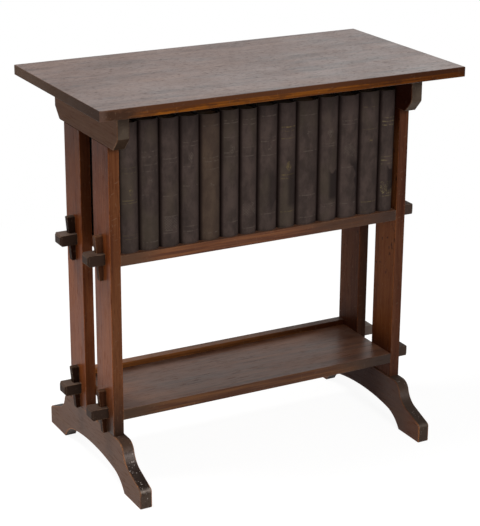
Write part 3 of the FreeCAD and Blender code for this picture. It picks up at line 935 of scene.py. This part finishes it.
def make_headbands(number, material, radius=0.0013, sides=10, steps=16, margin=0.0012, rise=0.0075):
    """Two rolls on the round back of a book's pages, one at the head and one at the tail."""
    low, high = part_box(f"book_{number:02d}_pages")
    half = (high.x - low.x) / 2 - margin
    middle = (low.x + high.x) / 2
    sweep = 2 * atan(rise / half)
    bend = half / sin(sweep)
    turns = [2 * pi * side / sides for side in range(sides)]
    mesh = bmesh.new()
    for z in (low.z, high.z):
        rings = []
        for step in range(steps + 1):
            angle = sweep * (2 * step / steps - 1)
            centre = Vector((middle + bend * sin(angle), low.y + bend * (1 - cos(angle)) + radius * 0.6, z))
            outward, upward = Vector((sin(angle), -cos(angle), 0.0)), Vector((0.0, 0.0, 1.0))
            rings.append([mesh.verts.new(centre + radius * (cos(turn) * outward + sin(turn) * upward))
                          for turn in turns])
        for one, other in zip(rings, rings[1:]):
            for side in range(sides):
                follow = (side + 1) % sides
                mesh.faces.new((one[side], one[follow], other[follow], other[side]))
        mesh.faces.new(rings[0])
        mesh.faces.new(reversed(rings[-1]))
    bmesh.ops.recalc_face_normals(mesh, faces=mesh.faces)
    data = bpy.data.meshes.new(f"book_{number:02d}_headbands")
    mesh.to_mesh(data)
    mesh.free()
    data.polygons.foreach_set("use_smooth", [True] * len(data.polygons))
    data.materials.append(material)
    piece = new_object(data.name, data)
    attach(piece, f"book_{number:02d}")


headband_thread = make_headband_material()
for number in BINDINGS:
    make_headbands(number, headband_thread)
print("sewed", 2 * len(BINDINGS), "headbands")

# %% [markdown]
# ### Page edges
#
# Seen from above or behind, a book shows hundreds of leaf edges as fine lines. The lines run with the leaves,
# so they are bands across the book's thickness. The paper has browned, and no two books are of quite the same
# tone. The heads, which look up, are much darker, partly dust and partly painted shade under the top. Real
# leaves would need thousands of thin faces for lines finer than a pixel, so stretched noise draws them.

# %% Cut the pages
def make_page_material():
    material, shader, place = start_material("page_edges")
    age = use_group(age_group, Place=place)
    leaves = noise(place, (5200.0, 25.0, 25.0), 1.0)
    sections = noise(place, (420.0, 6.0, 6.0), 2.0)
    tone = plus(times(leaves, 0.6), times(sections, 0.4))
    tint = blend(between(tone, 0.32, 0.68), (132, 100, 68), (200, 176, 138))
    tint = toned(between(noise(place, (31.0, 0.0, 0.0), 0.0), 0.3, 0.7), tint, (0.74, 0.66, 0.58))
    # The heads are painted dark, partly dust and partly shade under the top.
    tint = blend(between(z_of(true_face(place)), 0.5, 0.8, 0.0, 0.88), tint, (66, 53, 42))
    tint = blend(times(age["Dust"], 0.6), tint, (36, 28, 23))
    tint = blend(times(age["Blotches"], 0.3), tint, (140, 108, 72))
    feed(shader, {"Base Color": tint, "Roughness": between(leaves, 0.2, 0.8, 0.75, 0.95),
                  "Normal": relief(tone, 0.6, 0.0003), "Specular IOR Level": 0.15})
    return material


dress(make_page_material(), "_pages")

# %% [markdown]
# ## The screws
#
# Round-headed steel screws hold the top. They sit in pockets under the cleats and have darkened, with rust
# where the bright metal was scratched. Rust isn't a metal, so the same mask that browns the colour also turns
# the metal off and roughens it.

# %% Finish the screws
def make_screw_material():
    material, shader, place = start_material("screw_steel")
    age = use_group(age_group, Place=place)
    turned = noise(place, (300.0, 300.0, 1800.0), 2.0)
    rust = between(noise(place, 380.0, 4.0, 0.7), 0.5, 0.62)
    tint = blend(rust, blend(turned, (96, 94, 90), (142, 140, 134)), (92, 54, 34))
    tint = blend(times(age["Blotches"], 0.4), tint, (70, 60, 52))
    feed(shader, {"Base Color": tint, "Metallic": between(rust, 0.0, 1.0, 1.0, 0.1),
                  "Roughness": between(rust, 0.0, 1.0, 0.35, 0.85),
                  "Normal": relief(plus(turned, rust), 0.4, 0.0002)})
    return material


dress(make_screw_material(), "top_screws")

# %% [markdown]
# ## The studio
#
# A product photograph has a white sweep behind and below the object. Pouring light on the floor until it is
# white would bleach the wood too. Instead the floor looks white only to the camera and to shiny surfaces,
# and mixes in a little of its true shading, so that the shadow under the feet stays. Three large lamps light
# the stand: one from above, one from the front and a weak one from the left.

# %% Floor, sky and lamps
SHADOW_REACH = (0.6, 1.3)
FLOOR_GLOW, FLOOR_SHADE = 0.92, 0.16
LAMP_COLOUR = (1.0, 0.985, 0.96)
LAMPS = {  # place, size and watts
    "key_light": ((-1.0, 0.4, 2.7), 1.0, 68.0),
    "front_light": ((0.0, -2.8, 1.9), 1.0, 52.0),
    "side_light": ((-2.6, -0.2, 0.6), 1.2, 5.0),
}


def seen_straight(near):
    """1 for rays from the camera, a shiny surface or glass, and 0 for light that only fills the room."""
    ray = add_node(near, "ShaderNodeLightPath").outputs
    return larger(larger(ray["Is Camera Ray"], ray["Is Glossy Ray"]), ray["Is Transmission Ray"])


def make_floor_material():
    """White to the camera. Close to the feet its own lit colour is added, so that a shadow darkens it."""
    material, shader, place = start_material("floor")
    pale = blend(noise(place, 3.0, 2.0), (226, 226, 226), (236, 236, 236))
    feed(shader, {"Base Color": pale, "Roughness": 0.9})
    white = add_node(place, "ShaderNodeEmission", {"Color": WHITE, "Strength": 1.0}).outputs[0]
    glow = add_node(place, "ShaderNodeEmission", {"Color": WHITE, "Strength": FLOOR_GLOW}).outputs[0]
    shade = {"Color": (FLOOR_SHADE, FLOOR_SHADE, FLOOR_SHADE, 1.0)}
    lit = add_node(place, "ShaderNodeBsdfDiffuse", shade).outputs[0]
    near = add_node(place, "ShaderNodeAddShader", {0: glow, 1: lit}).outputs[0]
    out = add_node(place, "ShaderNodeVectorMath", {0: place}, operation="LENGTH").outputs["Value"]
    sweep = add_node(place, "ShaderNodeMixShader", {0: between(out, *SHADOW_REACH), 1: near, 2: white})
    mixed = {0: seen_straight(place), 1: shader.outputs[0], 2: sweep.outputs[0]}
    mixed = add_node(place, "ShaderNodeMixShader", mixed).outputs[0]
    feed(material.node_tree.nodes["Material Output"], {"Surface": mixed})
    return material


def make_floor(half_width):
    mesh = bpy.data.meshes.new("floor")
    corners = [(half_width * x, half_width * y, 0) for x, y in ((-1, -1), (1, -1), (1, 1), (-1, 1))]
    mesh.from_pydata(corners, [], [(0, 1, 2, 3)])
    mesh.materials.append(make_floor_material())
    floor = new_object("floor", mesh)


def make_sky(strength):
    world = bpy.data.worlds.new("studio")
    bpy.context.scene.world = world
    world.use_nodes = True
    sky = world.node_tree.nodes["Background"]
    feed(sky, {"Color": WHITE, "Strength": strength})
    white = add_node(sky, "ShaderNodeBackground", {"Color": WHITE, "Strength": 1.0}).outputs[0]
    mixed = add_node(sky, "ShaderNodeMixShader", {0: seen_straight(sky), 1: sky.outputs[0], 2: white})
    feed(world.node_tree.nodes["World Output"], {"Surface": mixed.outputs[0]})


def make_lamp(name, place, size, watts, target=(0.0, 0.0, 0.35)):
    lamp = new_object(name, bpy.data.lights.new(name, "AREA"))
    lamp.data.size = size
    lamp.data.energy = watts
    lamp.data.color = LAMP_COLOUR
    lamp.location = place
    lamp.rotation_euler = (Vector(target) - Vector(place)).to_track_quat("-Z", "Y").to_euler()


make_floor(half_width=30.0)
make_sky(strength=0.16)
for name, settings in LAMPS.items():
    make_lamp(name, *settings)
bpy.context.scene.view_settings.view_transform = "Standard"
print("studio ready, lamps:", ", ".join(LAMPS))
